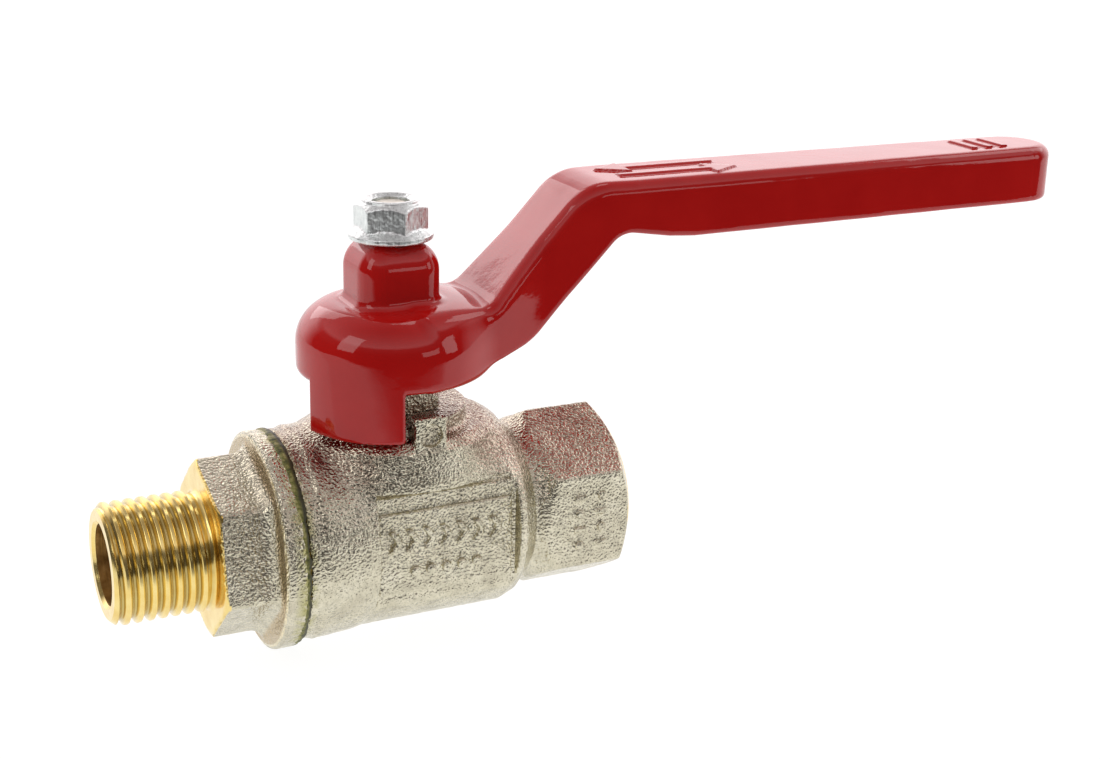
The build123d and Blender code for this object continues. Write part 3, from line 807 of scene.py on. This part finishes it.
def body_forging(x, y, z):
    """Outside of the body, without anything that is machined into it."""
    radius = np.hypot(y, z - RISE)
    shape = outline_distance(BODY_OUTLINE, x, radius)
    about_stem = np.hypot(x - 0.7, y)
    shape = join(shape, outline_distance(SHOULDER_OUTLINE, z, about_stem), 1.8)
    boss = outline_distance([(0, -5), (0, BOSS_R), (BOSS_TOP_Z, BOSS_R), (BOSS_TOP_Z, -5)],
                            z, np.hypot(x, y))
    shape = join(shape, boss, 0.5)
    side = np.abs(y)
    lug = block((LUG_X[0], LUG_Y[0], 9.0), (LUG_X[1], LUG_Y[1], LUG_TOP_Z), 0.2, x, side, z)
    dimple_x, dimple_z, dimple_r, depth = DIMPLE
    dimple = meet(np.hypot(x - dimple_x, z - dimple_z) - dimple_r, LUG_Y[1] - depth - side, 0.15)
    shape = join(shape, meet(lug, -dimple, 0.08), 0.35)
    recess = block((PAD_X[0], PAD_Y, -PAD_HALF_HEIGHT), (PAD_X[1], PAD_Y + 9, PAD_HALF_HEIGHT),
                   0.3, x, side, z)
    shape = meet(shape, -recess, 0.3)
    crease = block((PAD_X[0], PAD_Y - 0.45, PAD_HALF_HEIGHT - 0.5),
                   (PAD_X[1] - 0.6, PAD_Y + 9, PAD_HALF_HEIGHT + 0.1), 0.1, x, side, z)
    shape = meet(shape, -crease, 0.12)
    front = PAD_Y + PANEL_PROUD
    panel = block((PANEL_X[0], PAD_Y - 1, -PANEL_HALF_HEIGHT), (PANEL_X[1], front, PANEL_HALF_HEIGHT),
                  0.12, x, side, z)
    shape = join(shape, panel, 0.15)
    relief = meet(marks(x, z), np.abs(side - front) - 0.44, 0.1)
    shape = join(shape, relief, 0.08)
    outer_radius = np.hypot(y, z)
    bar = hexagon(OUTLET_FLATS, 0, 0.45, y, z)
    hex_back, hex_face = OUTLET_HEX_X, BODY[1][0]
    ends = np.abs(x - (hex_back + hex_face) / 2) - (hex_face - hex_back) / 2
    bar = meet(bar, ends, 0.08)
    bar = meet(bar, cone(hex_face, *OUTLET_CONE, 1, x, outer_radius), 0.12)
    bar = meet(bar, cone(hex_back, *HEX_BACK_CONE, -1, x, outer_radius), 0.3)
    shape = join(shape, bar, 0.8)
    flat = OUTLET_FLATS / 2
    return join(shape, meet(hexagon_marks(x, z), np.abs(side - flat) - 0.36, 0.08), 0.06)


def make_body():
    piece = skin("body_forged", body_forging, BODY[0] - ROOM, BODY[1] + ROOM, 0.22, NICKEL)
    piece.data.materials.append(BRASS)

    def lumps(place):
        if place.x > BODY[1][0] - 0.6 or place.x < BODY[0][0] + 0.15:
            return 0
        return 0.04 * noise.fractal(place * 0.7, 0.9, 2.1, 2) + 0.02 * noise.noise(place * 2.0)

    roughen(piece, lumps)
    mouth = THREAD_MAJOR_R + 0.3
    inlet, outlet = BODY[0][0], BODY[1][0]
    start = OUTLET_THREAD_X
    thread = threaded_rod("female_thread", start + 0.4, outlet + 1,
                          thread_profile(THREAD_MINOR_R, THREAD_MAJOR_R), THREAD_PITCH)
    blank = lathe("blank", [(start, 0), (start, THREAD_MINOR_R), (start + 1, THREAD_MAJOR_R),
                            (outlet + 1, THREAD_MAJOR_R), (outlet + 1, 0)])
    carve(thread, blank, "INTERSECT")
    seat, pocket_end = OUTLET_SEAT_X
    passage = lathe("passage", [(inlet - 1, 0), (inlet - 1, JOINT_HOLE_R), (CAVITY_X, JOINT_HOLE_R),
                                (CAVITY_X, CAVITY_R), (seat, CAVITY_R), (seat, SEAT_POCKET_R),
                                (pocket_end, SEAT_POCKET_R), (pocket_end, BORE_R),
                                (start - 1, BORE_R), (start, THREAD_MINOR_R),
                                (outlet - mouth + THREAD_MINOR_R, THREAD_MINOR_R),
                                (outlet + 0.05, mouth), (outlet + 1, mouth), (outlet + 1, 0)])
    above = LUG_TOP_Z + 1
    stem_hole = lathe("stem_hole", [(-1, 0), (-1, WASHER_HOLE_R), (WASHER_TOP_Z, WASHER_HOLE_R),
                                    (WASHER_TOP_Z, STEM_HOLE_R), (PACKING_Z, STEM_HOLE_R),
                                    (PACKING_Z, PACKING_R), (above, PACKING_R), (above, 0)],
                      axis="Z")
    carve(piece, thread, "DIFFERENCE")
    carve(piece, passage, "DIFFERENCE")
    carve(piece, stem_hole, "DIFFERENCE")
    for face in piece.data.polygons:
        middle = face.center / MM
        around = (middle.y ** 2 + middle.z ** 2) ** 0.5
        end_face = middle.x > outlet - 0.9 and face.normal.x > 0.4
        inside = around < SEAT_POCKET_R + 0.1 or middle.x < inlet + 0.1
        face.material_index = int(end_face or inside)
    finish_piece(piece, "valve_body", "body")


make_body()


# ---------------------------------------------------------------- sealant

def make_bead():
    """A ring of squeezed-out sealant: heavier on the upper part, thin and ragged elsewhere."""
    stations, sides = 420, 14
    points = []
    for station in range(stations):
        angle = 2 * pi * station / stations
        around = Vector((cos(angle), sin(angle), 0))
        ragged = noise.fractal(around * 9, 0.9, 2.1, 4)
        heavy = max(0, cos(angle - radians(100))) ** 6
        half_width = 0.42 + 0.26 * ragged + 0.26 * heavy
        height = 0.17 + 0.08 * ragged + 0.18 * heavy
        along = BEAD[0][0] + 0.12 * noise.noise(around * 4 + Vector((5, 0, 0)))
        for side in range(sides):
            turn = 2 * pi * side / sides
            x = along + half_width * cos(turn)
            radius = COLLAR_R - 0.02 + height * sin(turn)
            points.append((x, radius * cos(angle), radius * sin(angle)))
    faces = []
    for station in range(stations):
        following = (station + 1) % stations
        for side in range(sides):
            after = (side + 1) % sides
            faces.append((station * sides + side, station * sides + after,
                          following * sides + after, following * sides + side))
    piece = new_piece("sealant_squeeze", points, faces, SEALANT)
    face_outwards(piece)
    finish_piece(piece, "valve_body", "sealant_bead", sharp=60)


make_bead()


# ---------------------------------------------------------------- lever

HUB_R = -LEVER[0][0]
HUB_BOTTOM_Z = 17.8
HUB_TOP_Z = 25.6
TAB_ANGLES = (-169.0, -103.0)
TAB_INNER_R = 8.95
GRIP_TOP_Z = LEVER[1][2]
TIP_X = LEVER[1][0]
TIP_HALF_WIDTH = 4.9
GRIP_EDGE_R = 1.5
ARM_EDGE_R = 0.6
HUB_INSIDE_Z = 20.0  # the tab ends, and the square and its hole start, inside the hub here
STEM_FIT_R = 3.03
ABOVE_LEVER_Z = 40.0
CAVITY_OUTLINE = [(HUB_BOTTOM_Z - 5, -5), (HUB_BOTTOM_Z - 5, 8.8), (20.8, 8.8), (23.6, 6.6), (23.6, -5)]
SQUARE_HALF = 4.6
SQUARE_EDGE_R = 2.7
SQUARE_TOP_EDGE_R = 3.3
SIDE = rounded_outline([
    (1, 25.2, 0), (9.5, 25.2, 2.5), (21.28, GRIP_TOP_Z, 6.5), (TIP_X, GRIP_TOP_Z, 0),
    (TIP_X, 30.8, 0), (33.0, 30.8, 20), (25.4, 32.0, 3.0), (14.8, 20.6, 7), (10.4, 19.1, 4),
    (2.5, HUB_BOTTOM_Z, 0), (1, HUB_BOTTOM_Z, 0)])


def half_width(x):
    """Half the arm's width along the lever."""
    root = 4.2 * np.clip(1 - x / 16, 0, 1) ** 1.3
    return root + np.interp(x, (19.0, 27.0, TIP_X), (5.1, 5.7, TIP_HALF_WIDTH))


def raised_marks(x, y):
    """Generic raised marks on the grip: two opposite arrows, and three bars near the tip."""
    shape = np.full(np.broadcast(x, y).shape, 1e3)
    for side, direction in ((1.75, -1), (-1.75, 1)):
        along = (x - 33.5) * direction
        shaft = np.maximum(np.abs(along + 1) - 6.0, np.abs(y - side) - 0.5)
        head = np.maximum(np.abs(y - side) - (8.4 - along) * 0.6, 4.6 - along)
        shape = np.minimum(shape, np.minimum(shaft, head))
    for across in (76.0, 78.2, 80.4):
        shape = np.minimum(shape, np.maximum(np.abs(x - across) - 0.55, np.abs(y) - 2.4))
    return shape


def lever_casting(x, y, z):
    """Hub, square boss, cranked arm, grip and stop tab in one casting."""
    about = np.hypot(x, y)
    hub_outline = rounded_outline([(HUB_BOTTOM_Z, -5, 0), (HUB_BOTTOM_Z, HUB_R, 0.9),
                                   (HUB_TOP_Z, HUB_R, 4.5), (HUB_TOP_Z, -5, 0)])
    hub = outline_distance(hub_outline, z, about)
    side = outline_distance(SIDE, x, z)
    tip = TIP_X - TIP_HALF_WIDTH
    plan = np.where(x > tip, np.hypot(x - tip, y) - TIP_HALF_WIDTH, np.abs(y) - half_width(x))
    middle_z = np.interp(x, (9.5, 22.0, 26.0, TIP_X), (22.5, 32.5, 34.4, 34.0))
    upper = np.clip((z - middle_z) / 1.5, 0, 1)  # the upper edges are rounder than the lower ones
    arm = meet(side, plan, ARM_EDGE_R + (GRIP_EDGE_R - ARM_EDGE_R) * upper)
    shape = join(hub, arm, 1.5)
    relief = meet(raised_marks(x, y), np.abs(z - GRIP_TOP_Z) - 0.22, 0.08)
    shape = join(shape, relief, 0.1)
    boss_top = NUT[0][2]
    square = block((-SQUARE_HALF, -SQUARE_HALF, HUB_INSIDE_Z),
                   (SQUARE_HALF, SQUARE_HALF, boss_top + 9), SQUARE_EDGE_R, x, y, z)
    shape = join(shape, meet(square, z - boss_top, SQUARE_TOP_EDGE_R), 1.0)
    tab_bottom = LEVER[0][2]
    spread = (TAB_ANGLES[1] - TAB_ANGLES[0]) / 2
    middle = radians(sum(TAB_ANGLES) / 2)
    across = x * cos(middle) + y * sin(middle)
    sideways = np.abs(-x * sin(middle) + y * cos(middle))
    cut = sideways * cos(radians(spread)) - across * sin(radians(spread))
    wall = np.maximum(np.abs(about - (HUB_R + TAB_INNER_R) / 2) - (HUB_R - TAB_INNER_R) / 2,
                      tab_bottom - z)
    tab = meet(meet(wall, cut, 0.35), z - HUB_INSIDE_Z, 0.1)
    shape = np.minimum(shape, tab)
    return meet(shape, -outline_distance(CAVITY_OUTLINE, z, about), 0.25)


def make_lever():
    piece = skin("lever_casting", lever_casting, LEVER[0] - ROOM, LEVER[1] + ROOM, 0.27, RED)
    roughen(piece, lambda place: 0.03 * noise.fractal(place * 0.2, 0.9, 2.1, 1))
    hole = lathe("hole", [(HUB_INSIDE_Z, 0), (HUB_INSIDE_Z, STEM_FIT_R),
                          (ABOVE_LEVER_Z, STEM_FIT_R), (ABOVE_LEVER_Z, 0)], axis="Z")
    carve(piece, hole, "DIFFERENCE")
    finish_piece(piece, "lever", "handle", sharp=50)


make_lever()


# ---------------------------------------------------------------- lever nut

NUT_TURN = 1.0
NUT_FLATS = 7.0
NUT_HEX_TOP_Z = 36.5
NUT_COLLAR_R = 3.1
NUT_HOLE_R = 2.05


def nut_shape(x, y, z):
    """Hexagon on a washer flange, with a round collar on top and a plain hole."""
    about = np.hypot(x, y)
    bottom, top = NUT[0][2], NUT[1][2]
    bar = hexagon(NUT_FLATS, NUT_TURN, 0.15, x, y)
    bar = meet(bar, z - NUT_HEX_TOP_Z, 0.1)
    bar = meet(bar, cone(NUT_HEX_TOP_Z, NUT_COLLAR_R, 35, 1, z, about), 0.12)
    collar = meet(about - NUT_COLLAR_R, z - top, 0.2)
    shape = join(bar, collar, 0.15)
    flange = outline_distance([(bottom, -5), (bottom, NUT[1][0] - 0.1), (bottom + 0.2, NUT[1][0]),
                               (bottom + 0.55, NUT[1][0]), (bottom + 1.35, 3.4),
                               (bottom + 1.5, -5)], z, about)
    shape = join(shape, flange, 0.2)
    shape = np.maximum(shape, bottom - z)
    hole = outline_distance([(bottom - 2, -5), (bottom - 2, NUT_HOLE_R), (top - 0.35, NUT_HOLE_R),
                             (top, 2.5), (top + 1, 2.5), (top + 1, -5)], z, about)
    return meet(shape, -hole, 0.08)


def make_nut():
    piece = skin("lever_nut_turned", nut_shape, NUT[0] - 0.4, NUT[1] + 0.4, 0.1, ZINC)
    finish_piece(piece, "lever", "handle_nut", sharp=60)


make_nut()


# ---------------------------------------------------------------- CAD nodes that stay

def paint(material, *nodes):
    for node in nodes:
        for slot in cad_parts[node].material_slots:
            slot.material = material


paint(CHROME, "ball")
paint(POLYMER, "inlet_seat_ring", "outlet_seat_ring", "stem_thrust_washer",
      "lower_packing_ring", "upper_packing_ring")
paint(PALE_BRASS, "stem")
paint(NICKEL, "gland_nut")


# ---------------------------------------------------------------- floor, light and camera

CAMERA_AZIMUTH = 26.514
CAMERA_ELEVATION = 18.284
CAMERA_ROLL = 1.349
CAMERA_DISTANCE = 201.7
CAMERA_TARGET = Vector((19.41, 0, 14.0))
CAMERA_LENS = 57.47

FLOOR_FRONT_Y = -100
FLOOR_REACH = 900
NEAR_GLOW = (-52, -36)  # away from the camera, where the light table's middle comes on
SIDE_GLOW = (5, 42)  # along X, how far from the middle its sides come on
TABLE_GLOW = 0.92
SIDES_GLOW = 0.75
FAINT_GLOW = 0.1

LIGHT_TARGET = Vector((15, 0, 15))
LIGHT_DISTANCE = 600
SOFTBOXES = {  # azimuth, elevation, (width, height), radiance
    "right": (98, 37, (220, 260), 1.4),
    "behind": (-172, 30, (200, 300), 1.3),
    "above": (145, 66, (140, 140), 1.6),
    "window_left": (-79, 33, (230, 400), 1.7),
    "strip": (26, 12, (240, 110), 1.2),
    "window_right": (53, 12, (170, 210), 1.6),
}

ROOM_TINT = (1.05, 0.96, 0.98)
DIM_ROOM = ((0.0, 0.08), (0.3, 0.10), (0.51, 0.20), (0.59, 0.95), (1.0, 0.3))  # height, grey
BRIGHT_ROOM = ((0.0, 1.4), (0.2, 1.75), (0.44, 1.8), (0.56, 0.6), (1.0, 0.25))
BRIGHT_AZIMUTH = 150
BRIGHT_EDGE = (0.15, 0.55)  # cosines from that azimuth between which the bright side comes in


def floor():
    """A light table: a pale floor that glows softly, so that shadows on it are faint.

    It glows evenly to the eye. What the valve mirrors of it is dim in front and under its middle.
    """
    n = Nodes("floor_white", 0.0, 0.7)
    n.plug("Base Color", n.ramp(n.grain(40.0), (0.3, (0.15, 0.15, 0.15)), (0.7, (0.16, 0.16, 0.16))))
    n.plug("Emission Color", n.ramp(n.grain(60.0), (0.3, (0.97, 0.97, 0.97)), (0.7, (1.0, 1.0, 1.0))))
    away = n.tree.nodes.new("ShaderNodeVectorMath")
    away.operation = "DOT_PRODUCT"
    n.tree.links.new(n.place, away.inputs[0])
    away.inputs[1].default_value = (sin(radians(CAMERA_AZIMUTH)), cos(radians(CAMERA_AZIMUTH)), 0)
    near, far = NEAR_GLOW
    middle = n.level(away.outputs["Value"], near * MM, far * MM, FAINT_GLOW, TABLE_GLOW)
    sides = n.both(n.aside("X", *SIDE_GLOW, FAINT_GLOW, SIDES_GLOW),
                   n.along("Y", FLOOR_FRONT_Y + 3, FLOOR_FRONT_Y + 30))
    seen = n.level(n.add("ShaderNodeLightPath", {}), 0, 1, 0, TABLE_GLOW)
    n.plug("Emission Strength", n.either(n.either(middle, sides), seen))
    level = cad_bounds[0].z / MM - 0.1
    reach, front = FLOOR_REACH, FLOOR_FRONT_Y
    corners = [(-reach, front, level), (reach, front, level), (reach, reach, level),
               (-reach, reach, level)]
    plane = new_piece("studio_floor", corners, [(0, 1, 2, 3)], n.material)


def softbox(name, azimuth, elevation, size, radiance):
    """A rectangular light aimed at the valve; azimuth 0 is in front (-Y) and 90 is at +X."""
    turn, rise = radians(azimuth), radians(elevation)
    towards = Vector((sin(turn) * cos(rise), -cos(turn) * cos(rise), sin(rise)))
    light = bpy.data.lights.new(name, "AREA")
    light.shape = "RECTANGLE"
    light.size, light.size_y = size[0] * MM, size[1] * MM
    light.energy = radiance * pi * light.size * light.size_y
    lamp = bpy.data.objects.new(name, light)
    lamp.location = (LIGHT_TARGET + towards * LIGHT_DISTANCE) * MM
    lamp.rotation_euler = towards.to_track_quat("Z", "Y").to_euler()
    lamp.visible_camera = False
    bpy.context.scene.collection.objects.link(lamp)


def studio_world():
    """A bright room behind and to the right, a dim one in front and to the left, seen as white."""
    world = bpy.data.worlds.new("studio")
    bpy.context.scene.world = world
    world.use_nodes = True
    tree = world.node_tree
    back = tree.nodes["Background"]
    add, link = tree.nodes.new, tree.links.new
    direction = add("ShaderNodeTexCoord").outputs["Generated"]
    split = add("ShaderNodeSeparateXYZ")
    link(direction, split.inputs[0])

    def by_height(stops):
        ramp = add("ShaderNodeValToRGB")
        link(split.outputs["Z"], ramp.inputs[0])
        elements = ramp.color_ramp.elements
        while len(elements) < len(stops):
            elements.new(0.5)
        for element, (position, grey) in zip(elements, stops):
            element.position = position
            element.color = (*[part * grey for part in ROOM_TINT], 1)
        return ramp.outputs[0]

    def mixed(factor, a):
        mix = add("ShaderNodeMix")
        mix.data_type = "RGBA"
        link(factor, mix.inputs[0])
        link(a, mix.inputs["A"])
        return mix

    dim = by_height(DIM_ROOM)
    bright = by_height(BRIGHT_ROOM)
    facing = add("ShaderNodeVectorMath")
    facing.operation = "DOT_PRODUCT"
    link(direction, facing.inputs[0])
    turn = radians(BRIGHT_AZIMUTH)
    facing.inputs[1].default_value = (sin(turn), -cos(turn), 0)
    side = add("ShaderNodeMapRange")
    link(facing.outputs["Value"], side.inputs["Value"])
    side.inputs["From Min"].default_value, side.inputs["From Max"].default_value = BRIGHT_EDGE
    room = mixed(side.outputs[0], dim)
    link(bright, room.inputs["B"])
    seen = mixed(add("ShaderNodeLightPath").outputs["Is Camera Ray"], room.outputs["Result"])
    seen.inputs["B"].default_value = (1.0, 1.0, 1.0, 1)
    link(seen.outputs["Result"], back.inputs["Color"])
    back.inputs["Strength"].default_value = 1.0


def camera():
    """The main viewpoint: from the male end's side, a little above."""
    azimuth, elevation, roll = (radians(a) for a in (CAMERA_AZIMUTH, CAMERA_ELEVATION, CAMERA_ROLL))
    back = Vector((-sin(azimuth) * cos(elevation), -cos(azimuth) * cos(elevation), sin(elevation)))
    right = Vector((cos(azimuth), -sin(azimuth), 0))
    up = back.cross(right)
    right, up = right * cos(roll) + up * sin(roll), up * cos(roll) - right * sin(roll)
    data = bpy.data.cameras.new("camera")
    data.sensor_width = 36
    data.lens = CAMERA_LENS
    data.clip_start = 0.01
    data.clip_end = 10
    eye = bpy.data.objects.new("camera", data)
    place = Matrix((right, up, back)).transposed().to_4x4()
    place.translation = (CAMERA_TARGET + back * CAMERA_DISTANCE) * MM
    eye.matrix_world = place
    bpy.context.scene.collection.objects.link(eye)
    bpy.context.scene.camera = eye


floor()
studio_world()
for box_name, box in SOFTBOXES.items():
    softbox(box_name, *box)
camera()
bpy.context.scene.view_settings.view_transform = "Standard"
